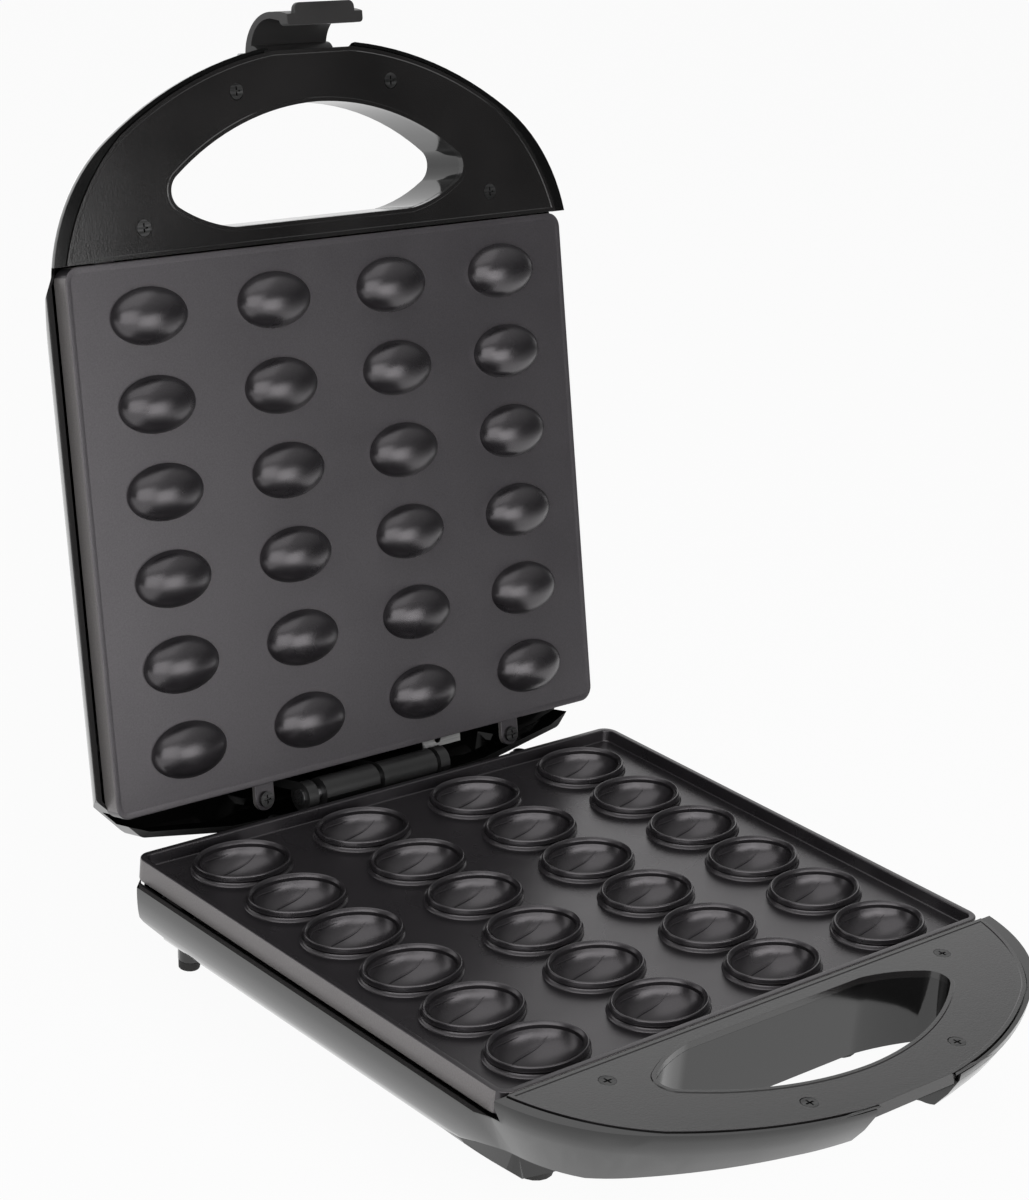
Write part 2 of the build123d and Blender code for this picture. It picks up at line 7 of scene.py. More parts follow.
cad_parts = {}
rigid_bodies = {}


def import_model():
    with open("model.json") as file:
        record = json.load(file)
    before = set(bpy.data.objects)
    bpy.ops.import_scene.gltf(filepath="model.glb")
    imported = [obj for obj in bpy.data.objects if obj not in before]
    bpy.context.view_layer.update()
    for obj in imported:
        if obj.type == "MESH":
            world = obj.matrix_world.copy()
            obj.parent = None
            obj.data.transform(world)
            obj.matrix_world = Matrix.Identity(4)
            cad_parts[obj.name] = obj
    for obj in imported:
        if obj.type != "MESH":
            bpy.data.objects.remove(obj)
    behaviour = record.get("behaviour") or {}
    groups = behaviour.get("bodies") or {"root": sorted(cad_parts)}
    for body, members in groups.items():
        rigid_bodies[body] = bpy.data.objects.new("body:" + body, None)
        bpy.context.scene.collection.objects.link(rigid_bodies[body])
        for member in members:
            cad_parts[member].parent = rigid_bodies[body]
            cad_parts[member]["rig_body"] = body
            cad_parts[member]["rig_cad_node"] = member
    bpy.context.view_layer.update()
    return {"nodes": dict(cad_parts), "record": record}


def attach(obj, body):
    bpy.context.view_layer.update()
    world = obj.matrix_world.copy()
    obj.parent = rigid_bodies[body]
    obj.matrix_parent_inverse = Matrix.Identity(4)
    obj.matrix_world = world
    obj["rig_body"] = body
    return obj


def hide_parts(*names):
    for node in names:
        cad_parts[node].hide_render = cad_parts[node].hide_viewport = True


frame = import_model()
nodes = frame["nodes"]

# The pieces are modelled on the shut machine in millimetres, with the joint
# between the halves at height zero, and then carried to the open machine.
mm = 0.001
middle_y = -12.17
stand_height = 58.0
hinge_y = 115.5
open_angle = 104.2

plate_long = 252.0
plate_deep = 213.0
plate_corner = 6.0
columns = [-90, -30, 30, 90]
rows = [-85, -51, -17, 17, 51, 85]
handle_screws = [(-88.1, -118.3), (88.1, -118.3), (-39.0, -167.0), (39.0, -167.0)]
plate_screws = [(-51.0, 114.25), (82.0, 114.25), (-104.0, -114.75), (104.0, -114.75)]
screw_tab_roots = 105.5
rear_legs = [(-95.0, 108.0), (95.0, 108.0)]
handle_back_y = -107.0

# The hollow of a bowl is half an oval ball.
hollow_top = -2.4
hollow_depth = 9.9
hollow_rim = (18.95, 13.75)
hollow_loops = (18.6, 13.4)

on_table = Matrix.Translation((0, middle_y * mm, stand_height * mm))
hinge = Matrix.Translation((0, hinge_y * mm, 0))
opened = on_table @ hinge @ Matrix.Rotation(math.radians(-open_angle), 4, "X") @ hinge.inverted()
body_place = {"base": on_table, "lid": opened, "latch": opened}


# Small helpers for modelling


def only(*objects):
    """Selects these objects alone; the last is active."""
    if bpy.context.object and bpy.context.object.mode != "OBJECT":
        bpy.ops.object.mode_set(mode="OBJECT")
    bpy.ops.object.select_all(action="DESELECT")
    for o in objects:
        o.select_set(True)
    bpy.context.view_layer.objects.active = objects[-1]


def edit(o):
    only(o)
    bpy.ops.object.mode_set(mode="EDIT")


def leave_edit():
    bpy.ops.object.mode_set(mode="OBJECT")


def faces_where(test):
    """In edit mode, selects the faces whose middle and normal pass the test."""
    mesh = bpy.context.object.data
    bm = bmesh.from_edit_mesh(mesh)
    bpy.ops.mesh.select_all(action="DESELECT")
    bpy.ops.mesh.select_mode(type="FACE")
    for f in bm.faces:
        f.select_set(test(f.calc_center_median() / mm, f.normal))
    bmesh.update_edit_mesh(mesh)


def edges_where(test):
    """In edit mode, selects the edges whose two ends pass the test."""
    mesh = bpy.context.object.data
    bm = bmesh.from_edit_mesh(mesh)
    bpy.ops.mesh.select_mode(type="EDGE")
    bpy.ops.mesh.select_all(action="DESELECT")
    for e in bm.edges:
        e.select_set(test(e.verts[0].co / mm, e.verts[1].co / mm))
    bmesh.update_edit_mesh(mesh)


def points_where(test):
    """In edit mode, selects the points that pass the test."""
    mesh = bpy.context.object.data
    bm = bmesh.from_edit_mesh(mesh)
    bpy.ops.mesh.select_mode(type="VERT")
    bpy.ops.mesh.select_all(action="DESELECT")
    for v in bm.verts:
        v.select_set(test(v.co / mm))
    bm.select_flush_mode()
    bmesh.update_edit_mesh(mesh)


def upright(a, b):
    """Whether an edge between these two points stands upright."""
    return abs(a.x - b.x) < 0.1 and abs(a.y - b.y) < 0.1


def settle(o):
    """Puts the object's place, turn and size into its mesh."""
    only(o)
    bpy.ops.object.transform_apply(location=True, rotation=True, scale=True)
    return o


def apply_all(o):
    """Applies the object's modifiers."""
    only(o)
    for m in list(o.modifiers):
        bpy.ops.object.modifier_apply(modifier=m.name)


def rounded(o, width, segments=2):
    """Rounds the sharp edges."""
    bevel = o.modifiers.new("edge round", "BEVEL")
    bevel.width = width * mm
    bevel.segments = segments
    bevel.limit_method = "ANGLE"
    bevel.angle_limit = math.radians(32)
    bevel.use_clamp_overlap = True
    apply_all(o)


def smooth(o, angle=35, even=True):
    """Smooth shading; even shading keeps flat faces flat."""
    only(o)
    bpy.ops.object.shade_smooth_by_angle(angle=math.radians(angle))
    if even:
        o.modifiers.new("even shading", "WEIGHTED_NORMAL").keep_sharp = True
        apply_all(o)


def cut_away(o, tool, name):
    """Takes the tool's shape out of the object and removes the tool."""
    cut = o.modifiers.new(name, "BOOLEAN")
    cut.operation = "DIFFERENCE"
    cut.object = tool
    cut.solver = "EXACT"
    apply_all(o)
    bpy.data.objects.remove(tool)


def joined(objects, name):
    """Makes one named piece of several."""
    only(*objects)
    bpy.ops.object.join()
    o = bpy.context.object
    o.name = name
    return o


def spread(o, places):
    """Copies the piece with its own mesh to these places in millimetres, and removes the first."""
    made = []
    for place in places:
        c = o.copy()
        c.data = o.data.copy()
        bpy.context.collection.objects.link(c)
        c.location = Vector(c.location) + Vector(place) * mm
        made.append(settle(c))
    bpy.data.objects.remove(o)
    return made


def mould_places(height=0):
    return [(x, y, height) for x in columns for y in rows]


def coat(o, material):
    """Gives the whole piece one finish."""
    o.data.materials.clear()
    o.data.materials.append(material)


def second_finish(o, material, test):
    """Gives another finish to the faces that pass the test, in the shut machine."""
    o.data.materials.append(material)
    for face in o.data.polygons:
        if test(face.center / mm, face.normal):
            face.material_index = len(o.data.materials) - 1


def stand_for(o, node, body):
    """Moves the piece with this body and hides the CAD node it stands for."""
    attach(o, body)
    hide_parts(node)


def carry(o, node, body):
    """Takes a finished piece from the shut machine to its place in the open one."""
    o.matrix_world = body_place[body] @ o.matrix_world
    settle(o)
    stand_for(o, node, body)


def from_solid(node, name):
    """A merged copy of a CAD node's mesh to finish by hand."""
    o = nodes[node].copy()
    o.data = nodes[node].data.copy()
    o.name = name
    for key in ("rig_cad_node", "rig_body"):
        if key in o:
            del o[key]
    o.parent = None
    bpy.context.collection.objects.link(o)
    edit(o)
    bpy.ops.mesh.select_all(action="SELECT")
    bpy.ops.mesh.remove_doubles(threshold=0.00002)
    bpy.ops.mesh.dissolve_limited(angle_limit=math.radians(1))
    leave_edit()
    return o


def block(low, high):
    """A box between two corners, in millimetres."""
    size = [(b - a) * mm for a, b in zip(low, high)]
    middle = [(a + b) / 2 * mm for a, b in zip(low, high)]
    bpy.ops.object.select_all(action="DESELECT")
    bpy.ops.mesh.primitive_cube_add(size=1, location=middle, scale=size)
    return settle(bpy.context.object)


# Helpers for finishes


def finish(name, colour, rough, metallic=0.0):
    """A new material; returns it with its node tree, its shader and the place on the piece."""
    m = bpy.data.materials.new(name)
    m.use_nodes = True
    tree = m.node_tree
    shader = tree.nodes["Principled BSDF"]
    shader.inputs["Base Color"].default_value = (*colour, 1)
    shader.inputs["Roughness"].default_value = rough
    shader.inputs["Metallic"].default_value = metallic
    place = tree.nodes.new("ShaderNodeTexCoord").outputs["Object"]
    return m, tree, shader, place


def speckle(tree, place, scale, detail=3.0, rough=0.6):
    """Random pattern, finer with a greater scale."""
    noise = tree.nodes.new("ShaderNodeTexNoise")
    noise.inputs["Scale"].default_value = scale
    noise.inputs["Detail"].default_value = detail
    noise.inputs["Roughness"].default_value = rough
    tree.links.new(place, noise.inputs["Vector"])
    return noise.outputs["Fac"]


def shift(tree, source, low, high, start=0.3, end=0.7):
    """Turns one range of values into another; the low end may come from another node."""
    ramp = tree.nodes.new("ShaderNodeMapRange")
    ramp.inputs["From Min"].default_value = start
    ramp.inputs["From Max"].default_value = end
    if isinstance(low, bpy.types.NodeSocket):
        tree.links.new(low, ramp.inputs["To Min"])
    else:
        ramp.inputs["To Min"].default_value = low
    ramp.inputs["To Max"].default_value = high
    tree.links.new(source, ramp.inputs["Value"])
    return ramp.outputs["Result"]


def calc(tree, operation, *values):
    """Reckons with numbers and other nodes' outputs."""
    node = tree.nodes.new("ShaderNodeMath")
    node.operation = operation
    for socket, value in zip(node.inputs, values):
        if isinstance(value, bpy.types.NodeSocket):
            tree.links.new(value, socket)
        else:
            socket.default_value = value
    return node.outputs[0]


def tint(tree, shader, source, dark, light, start=0.3, end=0.7):
    """Colour that wanders between two near tones."""
    ramp = tree.nodes.new("ShaderNodeValToRGB")
    ramp.color_ramp.elements[0].position = start
    ramp.color_ramp.elements[0].color = (*dark, 1)
    ramp.color_ramp.elements[1].position = end
    ramp.color_ramp.elements[1].color = (*light, 1)
    tree.links.new(source, ramp.inputs["Fac"])
    tree.links.new(ramp.outputs["Color"], shader.inputs["Base Color"])


def bump(tree, shader, source, depth, strength=1.0):
    """Small relief, its depth in metres."""
    b = tree.nodes.new("ShaderNodeBump")
    b.inputs["Distance"].default_value = depth
    b.inputs["Strength"].default_value = strength
    tree.links.new(source, b.inputs["Height"])
    tree.links.new(b.outputs["Normal"], shader.inputs["Normal"])


def moulding(name, dark, light, rough, grain, depth, specular=0.5):
    """Moulded plastic: fine grain, slow change of tone and of gloss."""
    m, tree, shader, place = finish(name, light, rough[1])
    shader.inputs["Specular IOR Level"].default_value = specular
    fine = speckle(tree, place, grain)
    broad = speckle(tree, place, 18, 2.0)
    tint(tree, shader, broad, dark, light)
    tree.links.new(shift(tree, broad, *rough), shader.inputs["Roughness"])
    bump(tree, shader, fine, depth)
    return m


def coating(name, dark, light, rough):
    """Sprayed non-stick coating: fine grain with a few darker specks."""
    m, tree, shader, place = finish(name, light, rough[1])
    shader.inputs["Specular IOR Level"].default_value = 1.0
    shader.inputs["Specular Tint"].default_value = (1, 0.95, 0.99, 1)
    grain = speckle(tree, place, 1500, 4.0, 0.7)
    broad = speckle(tree, place, 25, 3.0)
    tint(tree, shader, grain, dark, light, 0.35, 0.65)
    tree.links.new(shift(tree, broad, *rough), shader.inputs["Roughness"])
    bump(tree, shader, grain, 0.00006, 0.6)
    return m


def sheet_metal(name, dark, light, rough):
    """Rolled metal with fine lines along it."""
    m, tree, shader, place = finish(name, light, rough[1], 1.0)
    stretch = tree.nodes.new("ShaderNodeMapping")
    stretch.inputs["Scale"].default_value = (60, 1800, 1800)
    tree.links.new(place, stretch.inputs["Vector"])
    lines = speckle(tree, stretch.outputs["Vector"], 1.0, 3.0, 0.5)
    tint(tree, shader, lines, dark, light)
    tree.links.new(shift(tree, lines, *rough), shader.inputs["Roughness"])
    bump(tree, shader, lines, 0.00002, 0.5)
    return m


# Finishes: two tones, the range of roughness, and for plastics the fineness and
# depth of the grain and the strength of the shine

gloss_black = moulding(
    "polished black plastic",
    (0.002, 0.002, 0.002), (0.004, 0.004, 0.004), (0.07, 0.14), 700, 0.000004, 0.8,
)
satin_black = moulding(
    "satin black plastic",
    (0.010, 0.0095, 0.0095), (0.018, 0.017, 0.017), (0.09, 0.14), 1400, 0.00004, 0.9,
)
barrel_black = moulding(
    "grained black plastic",
    (0.010, 0.010, 0.010), (0.018, 0.018, 0.018), (0.3, 0.4), 900, 0.00005, 0.6,
)
latch_black = moulding(
    "latch plastic",
    (0.022, 0.021, 0.021), (0.032, 0.031, 0.031), (0.3, 0.4), 1200, 0.00003, 0.6,
)
rubber = moulding(
    "black rubber",
    (0.018, 0.018, 0.018), (0.035, 0.034, 0.033), (0.62, 0.8), 1200, 0.00006,
)
pale_plastic = moulding(
    "heat proof plastic",
    (0.60, 0.58, 0.52), (0.74, 0.72, 0.66), (0.4, 0.55), 900, 0.00003,
)
lens_red = moulding(
    "red lamp lens",
    (0.42, 0.02, 0.015), (0.60, 0.04, 0.03), (0.1, 0.2), 500, 0.00001,
)
nonstick = coating(
    "non-stick coating",
    (0.010, 0.0092, 0.0103), (0.020, 0.0185, 0.0205), (0.25, 0.32),
)
# The lid's coating is a lighter copy of the same non-stick coating: painted light on the lid's face.
lid_nonstick_painted_light = coating(
    "lid non-stick coating lightened as painted light",
    (0.030, 0.0278, 0.0305), (0.052, 0.0485, 0.053), (0.30, 0.37),
)
bare_side = coating(
    "thin coating on the plate sides",
    (0.16, 0.15, 0.15), (0.22, 0.21, 0.205), (0.3, 0.4),
)
dark_steel = sheet_metal("dark plated steel", (0.05, 0.05, 0.05), (0.14, 0.14, 0.14), (0.3, 0.45))
steel = sheet_metal("drawn steel", (0.42, 0.42, 0.43), (0.60, 0.60, 0.61), (0.25, 0.4))
tinned = sheet_metal("tinned sheet", (0.5, 0.5, 0.5), (0.68, 0.68, 0.67), (0.28, 0.42))

slot_finishes = {
    "gloss_black": gloss_black,
    "satin_black": satin_black,
    "nonstick": nonstick,
    "dark_steel": dark_steel,
    "steel": steel,
    "tinned_sheet": tinned,
    "rubber": rubber,
    "lens": lens_red,
    "lamp_glass": lens_red,
    "pale_plastic": pale_plastic,
}
for part in frame["record"]["subparts"]:
    coat(nodes[part["node"]], slot_finishes[part["material_slot"]])


# Plates


def pan(low, high, side, bead, sunk, hollow):
    """Rounded slab whose face is sunk inside a bead and whose back is hollowed.

    Side is +1 for a face that looks up and -1 for one that looks down.
    """
    o = block((-plate_long / 2, -plate_deep / 2, low), (plate_long / 2, plate_deep / 2, high))
    edit(o)
    edges_where(upright)
    bpy.ops.mesh.bevel(offset=plate_corner * mm, segments=8)
    faces_where(lambda c, n: n.z * side > 0.9)
    bpy.ops.mesh.inset(thickness=bead * mm)
    bpy.ops.mesh.inset(thickness=0.5 * mm, depth=-sunk * mm)
    faces_where(lambda c, n: n.z * side < -0.9)
    bpy.ops.mesh.inset(thickness=2.5 * mm)
    bpy.ops.mesh.inset(thickness=0.3 * mm, depth=-hollow * mm)
    leave_edit()
    return o


def tab(x, y, low, high):
    """Screw tab with a rounded end, from inside the slab to just past its screw."""
    out = math.copysign(1, y)
    root = out * screw_tab_roots
    o = block((x - 4.75, min(root, y), low), (x + 4.75, max(root, y), high))
    edit(o)
    faces_where(lambda c, n: n.y * out > 0.9)
    bpy.ops.mesh.extrude_region_move(TRANSFORM_OT_translate={"value": (0, out * 4.7 * mm, 0)})
    edges_where(lambda a, b: upright(a, b) and a.y * out > abs(y) + 4)
    bpy.ops.mesh.bevel(offset=4.4 * mm, segments=8)
    leave_edit()
    rounded(o, 0.25)
    return o


def on_side(c, n):
    """The upright outer sides of a plate."""
    return abs(n.z) < 0.3 and (abs(c.x) > plate_long / 2 - 0.6 or abs(c.y) > plate_deep / 2 - 0.6)


def lid_plate():
    """Shallow pan turned face down, with 24 domes and four screw tabs."""
    slab = pan(0.3, 8.3, side=-1, bead=2.2, sunk=0.25, hollow=4.6)
    rounded(slab, 0.35, 3)
    bpy.ops.object.select_all(action="DESELECT")
    bpy.ops.mesh.primitive_uv_sphere_add(segments=56, ring_count=28, radius=1)
    dome = bpy.context.object
    dome.scale = (17.5 * mm, 11.2 * mm, 8.9 * mm)
    settle(dome)
    edit(dome)
    bpy.ops.mesh.select_all(action="SELECT")
    bpy.ops.mesh.bisect(plane_co=(0, 0, 0.3 * mm), plane_no=(0, 0, 1), clear_outer=True, use_fill=True)
    leave_edit()
    smooth(dome, 40, even=False)
    domes = spread(dome, mould_places(0.55))
    tabs = [tab(x, y, 6.3, 8.3) for x, y in plate_screws]
    smooth(slab, 40)
    plate = joined(domes + tabs + [slab], "lid_plate")
    # The lid's face takes the lighter copy of the coating as painted light.
    coat(plate, lid_nonstick_painted_light)
    second_finish(plate, bare_side, on_side)
    # The domes take the darker copy of the same coating as painted shade.
    second_finish(plate, nonstick, lambda c, n: c.z < 0.2)
    carry(plate, "upper_baking_plate", "lid")


def ring(half_long, half_wide, height, last):
    """Extrudes the selected loop to a new oval at this height."""
    bpy.ops.mesh.extrude_region_move()
    bpy.ops.transform.resize(
        value=(half_long / last[0], half_wide / last[1], 1), center_override=(0, 0, 0)
    )
    bpy.ops.transform.translate(value=(0, 0, (height - last[2]) * mm))
    return half_long, half_wide, height


def bowl():
    """Collar, rounded lip and hollow, drawn loop by loop from the outside in."""
    bpy.ops.object.select_all(action="DESELECT")
    bpy.ops.mesh.primitive_circle_add(vertices=64, radius=1)
    o = bpy.context.object
    last = (21.8, 16.6, -5.45)
    o.scale = (last[0] * mm, last[1] * mm, 1)
    o.location = (0, 0, last[2] * mm)
    settle(o)
    edit(o)
    bpy.ops.mesh.select_mode(type="VERT")
    bpy.ops.mesh.select_all(action="SELECT")
    for half_long, half_wide, height in (
        (21.6, 16.4, -5.0),
        (21.2, 16.0, -4.75),
        (20.75, 15.55, -4.55),
        (20.55, 15.35, -3.4),
        (20.45, 15.25, -2.0),
        (20.3, 15.1, -1.5),
        (20.05, 14.85, -1.38),
        (19.8, 14.6, -1.42),
        (19.55, 14.35, -1.75),
        (*hollow_rim, hollow_top),
    ):
        last = ring(half_long, half_wide, height, last)
    for step in range(1, 13):
        turn = math.radians(7.2 * step)
        last = ring(
            hollow_loops[0] * math.cos(turn),
            hollow_loops[1] * math.cos(turn),
            hollow_top - hollow_depth * math.sin(turn),
            last,
        )
    bpy.ops.mesh.merge(type="CENTER")
    bpy.ops.mesh.select_all(action="SELECT")
    bpy.ops.mesh.normals_make_consistent(inside=False)
    leave_edit()
    return o


def crease(points, thick=0.5):
    """Thin raised line that follows the hollow and fades at both ends."""
    line = bpy.data.curves.new("crease line", "CURVE")
    line.dimensions = "3D"
    line.bevel_depth = thick * mm
    line.bevel_resolution = 2
    line.use_fill_caps = True
    spline = line.splines.new("NURBS")
    spline.points.add(len(points) - 1)
    for i, (x, y) in enumerate(points):
        inside = 1 - (x / hollow_rim[0]) ** 2 - (y / hollow_rim[1]) ** 2
        height = hollow_top - hollow_depth * math.sqrt(max(inside, 0.0)) - thick * 0.15
        spline.points[i].co = (x * mm, y * mm, height * mm, 1)
        spline.points[i].radius = 0.15 + 0.85 * math.sin(math.pi * i / (len(points) - 1))
    spline.order_u = 3
    spline.use_endpoint_u = True
    o = bpy.data.objects.new("crease", line)
    bpy.context.collection.objects.link(o)
    only(o)
    bpy.ops.object.convert(target="MESH")
    return bpy.context.object


def base_plate():
    """Pan with 24 collared bowls, each with two pressed creases, and four screw tabs."""
    slab = pan(-9.3, -0.3, side=1, bead=2.6, sunk=5.0, hollow=1.0)
    rounded(slab, 0.5, 3)
    bpy.ops.object.select_all(action="DESELECT")
    bpy.ops.mesh.primitive_cylinder_add(vertices=48, radius=1, depth=1)
    cutter = bpy.context.object
    cutter.scale = (19.6 * mm, 14.4 * mm, 20 * mm)
    cutter.location = (0, 0, -8 * mm)
    settle(cutter)
    cut_away(slab, joined(spread(cutter, mould_places()), "wells"), "wells")
    one = bowl()
    wall = one.modifiers.new("wall", "SOLIDIFY")
    wall.thickness = 2.2 * mm
    wall.offset = -1
    apply_all(one)
    first = crease([(-15.6, 6.0), (-12.8, 9.4), (-8.8, 11.4), (-3.6, 12.5), (1.5, 12.8), (5.5, 12.4)])
    second = crease([(-10.0, 3.6), (-4.5, 6.4), (0.8, 7.5), (5.2, 7.8), (9.5, 7.8), (14.0, 8.2)])
    cup = joined([first, second, one], "cup")
    smooth(cup, 60, even=False)
    cups = spread(cup, mould_places())
    tabs = [tab(x, y, -9.3, -7.3) for x, y in plate_screws]
    smooth(slab, 38)
    plate = joined(cups + tabs + [slab], "base_plate")
    coat(plate, nonstick)
    second_finish(plate, bare_side, on_side)
    carry(plate, "lower_baking_plate", "base")


lid_plate()
base_plate()


# Screws with cross recesses


def screw():
    """Screw with its head's seat at height zero."""
    bpy.ops.object.select_all(action="DESELECT")
    bpy.ops.mesh.primitive_cylinder_add(
        vertices=32, radius=3.2 * mm, depth=1.6 * mm, location=(0, 0, 0.8 * mm)
    )
    o = bpy.context.object
    edit(o)
    faces_where(lambda c, n: n.z > 0.9)
    bpy.ops.mesh.inset(thickness=0.9 * mm)
    edges_where(lambda a, b: a.z > 1.5 and b.z > 1.5 and a.xy.length > 3 and b.xy.length > 3)
    bpy.ops.mesh.bevel(offset=0.6 * mm, segments=4)
    faces_where(lambda c, n: n.z < -0.9)
    bpy.ops.mesh.inset(thickness=1.75 * mm)
    bpy.ops.mesh.extrude_region_move(TRANSFORM_OT_translate={"value": (0, 0, -7.8 * mm)})
    leave_edit()
    settle(o)
    for long, wide in ((3.6, 0.75), (0.75, 3.6)):
        cut_away(o, block((-long / 2, -wide / 2, 0.6), (long / 2, wide / 2, 3)), "cross")
    return o


def screw_set(points, seat, name, node, body):
    """One screw, copied to these points; those of the lid are upside down."""
    one = screw()
    if body == "lid":
        one.rotation_euler = (math.pi, 0, 0)
        settle(one)
        seat = -seat
    group = joined(spread(one, [(x, y, seat) for x, y in points]), name)
    smooth(group)
    coat(group, dark_steel)
    carry(group, node, body)


screw_set(handle_screws, -2.2, "base_handle_screws", "lower_handle_screws", "base")
screw_set(handle_screws, -2.2, "lid_handle_screws", "upper_handle_screws", "lid")
screw_set(plate_screws, -7.3, "base_plate_screws", "lower_plate_screws", "base")
screw_set(plate_screws, -6.3, "lid_plate_screws", "upper_plate_screws", "lid")


# Moulded pieces: the solids with rounded edges


def raised_lip(o):
    """Sinks the face of a handle cover a little inside its outer edge and its hand hole."""
    edit(o)
    top = 1.0 if max(v.co.z for v in o.data.vertices) < 0 else -1.0
    sunk = 0.3
    faces_where(lambda c, n: n.z * top > 0.98 and abs(c.z) < 2.2)
    bpy.ops.mesh.inset(thickness=1.5 * mm)
    bpy.ops.mesh.inset(thickness=0.3 * mm, depth=-sunk * mm)
    # Round the screws the face is level.
    highest = min(abs(v.co.z) for v in o.data.vertices) / mm
    points_where(
        lambda c: abs(c.z) < highest + 0.1
        and min(math.hypot(c.x - x, c.y - y) for x, y in handle_screws) < 6.5
    )
    bpy.ops.transform.translate(value=(0, 0, -top * sunk * mm))
    # The front edge stays just inside the handle's.
    bpy.ops.mesh.select_all(action="SELECT")
    bpy.ops.transform.resize(value=(1, 0.995, 1), center_override=(0, handle_back_y * mm, 0))
    leave_edit()


def round_corners(o):
    """Rounds the corners of the latch's thumb tab and of its hook."""
    edit(o)
    edges_where(lambda a, b: abs(a.x - b.x) < 0.01 and abs(a.x) > 14 and max(a.y, b.y) < -198.5)
    bpy.ops.mesh.bevel(offset=2.6 * mm, segments=5)
    edges_where(
        lambda a, b: abs(a.x - b.x) < 0.01
        and abs(a.x) > 18.5
        and max(a.y, b.y) < -190
        and abs(a.z - b.z) > 2
    )
    bpy.ops.mesh.bevel(offset=1.6 * mm, segments=4)
    leave_edit()


def satin_knuckles(o):
    """The hinge barrels are satin, unlike the polished shell round them."""
    second_finish(o, barrel_black, lambda c, n: math.hypot(c.y - hinge_y, c.z) < 8 and abs(c.x) < 42)


def thin_round_legs(share, below=0):
    """In edit mode, makes what stands round the rear legs' middles this much thinner."""
    for x, y in rear_legs:
        points_where(lambda c: c.z < below and math.hypot(c.x - x, c.y - y) < 12)
        bpy.ops.transform.resize(value=(share, share, 1), center_override=(x * mm, y * mm, 0))


def shape_base_shell(o):
    """Eases the step under the corners of the body into one slope and thins the rear legs."""
    satin_knuckles(o)
    step_height = -33
    edge_height = -30
    points = [v.co / mm for v in o.data.vertices]
    step = [p for p in points if abs(p.z - step_height) < 0.2 and abs(p.x) > 99 and -115.5 < p.y < -60]
    edge = [p for p in points if abs(p.z - edge_height) < 0.5 and abs(p.x) > 101 and -127 < p.y < -60]
    edit(o)
    for p in step:
        under = [q for q in points if (q.xy - p.xy).length < 0.15 and q.z < p.z - 0.3]
        if not under:
            continue
        drop = p.z - min(q.z for q in under)
        out = min(edge, key=lambda q: (q.xy - p.xy).length)
        points_where(lambda c: (c - p).length < 0.05)
        move = (out - p) * (drop / (edge_height - step_height + drop)) * mm
        bpy.ops.transform.translate(value=(move.x, move.y, 0))
    thin_round_legs(0.62, -36)
    leave_edit()


def thin_feet(o):
    """The rear feet are slender posts."""
    edit(o)
    thin_round_legs(0.7)
    leave_edit()


def moulded(node, name, body, material, slot, width, segments, work):
    """A CAD node's mesh, worked on in the shut machine, with rounded edges."""
    o = from_solid(node, name)
    coat(o, material)
    if work:
        where = body_place[body]
        o.matrix_world = where.inverted() @ o.matrix_world
        settle(o)
        work(o)
        o.matrix_world = where @ o.matrix_world
        settle(o)
    rounded(o, width, segments)
    smooth(o, 38)
    stand_for(o, node, body)


for moulded_piece in (
    ("lower_housing", "base_shell", "base", gloss_black, "gloss_black", 0.5, 2, shape_base_shell),
    ("upper_housing", "lid_shell", "lid", gloss_black, "gloss_black", 0.5, 2, satin_knuckles),
    ("lower_handle_cover", "base_cover", "base", satin_black, "satin_black", 0.3, 2, raised_lip),
    ("upper_handle_cover", "lid_cover", "lid", satin_black, "satin_black", 0.3, 2, raised_lip),
    ("latch", "latch_hook", "latch", latch_black, "satin_black", 0.5, 2, round_corners),
    ("front_feet", "front_feet_rubber", "base", rubber, "rubber", 0.8, 3, None),
    ("rear_feet", "rear_feet_rubber", "base", rubber, "rubber", 0.6, 3, thin_feet),
):
    moulded(*moulded_piece)


# Floor, room, lights and camera


def pale_floor():
    """Plain floor, white to the lens but for the object's shadow; to glossy rays its back left glows
    white as a painted reflection that fades in front.
    """
    bpy.ops.object.select_all(action="DESELECT")
    bpy.ops.mesh.primitive_plane_add(size=12, location=(0, 2, 0))
    floor = settle(bpy.context.object)
    floor.name = "floor"
    m = bpy.data.materials.new("pale floor")
    m.use_nodes = True
    tree = m.node_tree
    tree.nodes.clear()
    out = tree.nodes.new("ShaderNodeOutputMaterial")
    paint = tree.nodes.new("ShaderNodeBsdfDiffuse")
    paint.inputs["Color"].default_value = (0.9, 0.9, 0.9, 1)
    glow = tree.nodes.new("ShaderNodeEmission")
    glow.inputs["Strength"].default_value = 1.0
    mix = tree.nodes.new("ShaderNodeMixShader")
    path = tree.nodes.new("ShaderNodeLightPath").outputs
    along = tree.nodes.new("ShaderNodeSeparateXYZ")
    tree.links.new(tree.nodes.new("ShaderNodeTexCoord").outputs["Object"], along.inputs[0])
    # Glossy rays see the floor glow white towards the back left: a painted reflection, not a lamp.
    back_left = calc(tree, "MULTIPLY_ADD", along.outputs["X"], -0.8, along.outputs["Y"])
    painted_reflection_mask = shift(tree, back_left, 0.0, 1.0, -0.75, -0.4)
    mirrored = calc(tree, "MULTIPLY", painted_reflection_mask, path["Is Glossy Ray"])
    seen = calc(tree, "MAXIMUM", path["Is Camera Ray"], mirrored)
    tree.links.new(calc(tree, "MULTIPLY", seen, 0.95), mix.inputs["Fac"])
    tree.links.new(paint.outputs[0], mix.inputs[1])
    tree.links.new(glow.outputs[0], mix.inputs[2])
    tree.links.new(mix.outputs[0], out.inputs["Surface"])
    floor.data.materials.append(m)


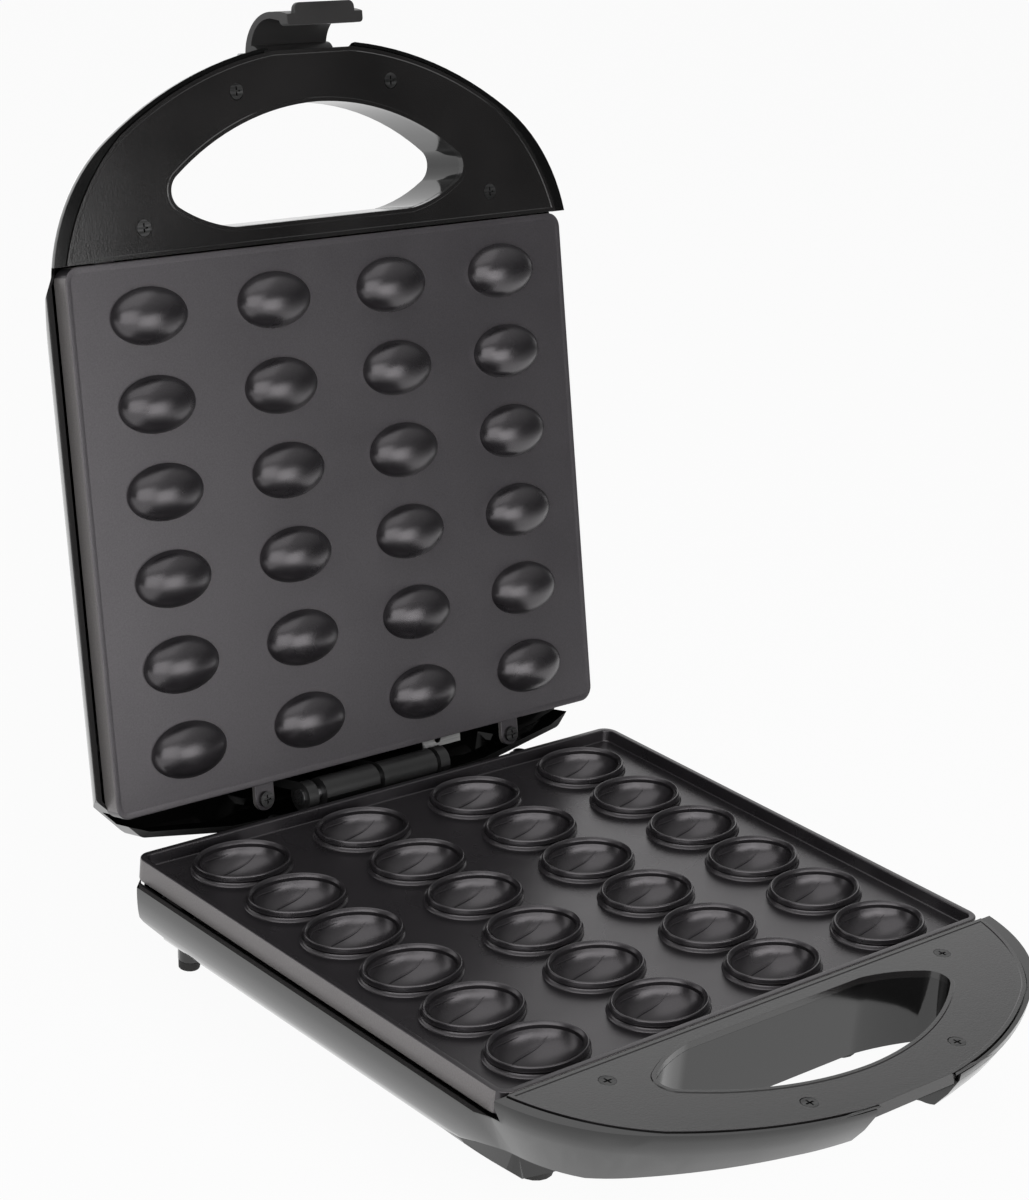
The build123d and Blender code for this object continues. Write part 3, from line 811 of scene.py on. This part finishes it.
def room():
    """The white sweep stands behind the object; the room in front and overhead is dim."""
    world = bpy.data.worlds.new("studio")
    bpy.context.scene.world = world
    world.use_nodes = True
    tree = world.node_tree
    back = tree.nodes["Background"]
    back.inputs["Color"].default_value = (1, 1, 1, 1)
    path = tree.nodes.new("ShaderNodeLightPath").outputs
    split = tree.nodes.new("ShaderNodeSeparateXYZ")
    tree.links.new(tree.nodes.new("ShaderNodeTexCoord").outputs["Generated"], split.inputs[0])
    behind = calc(tree, "MULTIPLY_ADD", split.outputs["Z"], -0.9, split.outputs["Y"])
    overhead = shift(tree, split.outputs["Z"], 0.05, 0.45, 0.3, 0.8)
    bright = shift(tree, behind, overhead, 1.0, -0.1, 0.2)
    glossy = tree.nodes.new("ShaderNodeMix")
    glossy.inputs["A"].default_value = 0.15
    tree.links.new(path["Is Glossy Ray"], glossy.inputs["Factor"])
    tree.links.new(bright, glossy.inputs["B"])
    seen = calc(tree, "MAXIMUM", glossy.outputs["Result"], path["Is Camera Ray"])
    tree.links.new(seen, back.inputs["Strength"])


def softboxes():
    """Square lamps that look at the object's middle."""
    for name, place, size, power in (
        ("top softbox", (-0.2, 0.1, 1.9), 2.0, 8),
        ("left softbox", (-1.1, -1.5, 0.7), 2.0, 24),
        ("front softbox", (0.17, -0.85, 0.25), 0.6, 2.8),
    ):
        lamp = bpy.data.lights.new(name, "AREA")
        lamp.size = size
        lamp.energy = power
        o = bpy.data.objects.new(name, lamp)
        bpy.context.collection.objects.link(o)
        o.location = place
        aim = Vector((0, 0, 0.1)) - Vector(place)
        o.rotation_euler = aim.to_track_quat("-Z", "Y").to_euler()


def photo_camera():
    """The place and lens of the photo, worked out from the plates' corners in it."""
    camera = bpy.data.cameras.new("camera")
    camera.lens = 88.84
    camera.sensor_width = 36
    camera.clip_end = 50
    o = bpy.data.objects.new("camera", camera)
    bpy.context.collection.objects.link(o)
    place = Vector((-739.8, -725.2 + middle_y, 501.5 + stand_height)) * mm
    away = -Vector((0.6502, 0.6746, -0.3495)).normalized()
    right = Vector((0.7408, -0.6650, 0.0945))
    right = (right - right.dot(away) * away).normalized()
    up = away.cross(right)
    turn = Matrix((right, up, away)).transposed().to_4x4()
    o.matrix_world = Matrix.Translation(place) @ turn
    bpy.context.scene.camera = o
    bpy.context.scene.view_settings.view_transform = "Standard"


pale_floor()
room()
softboxes()
photo_camera()
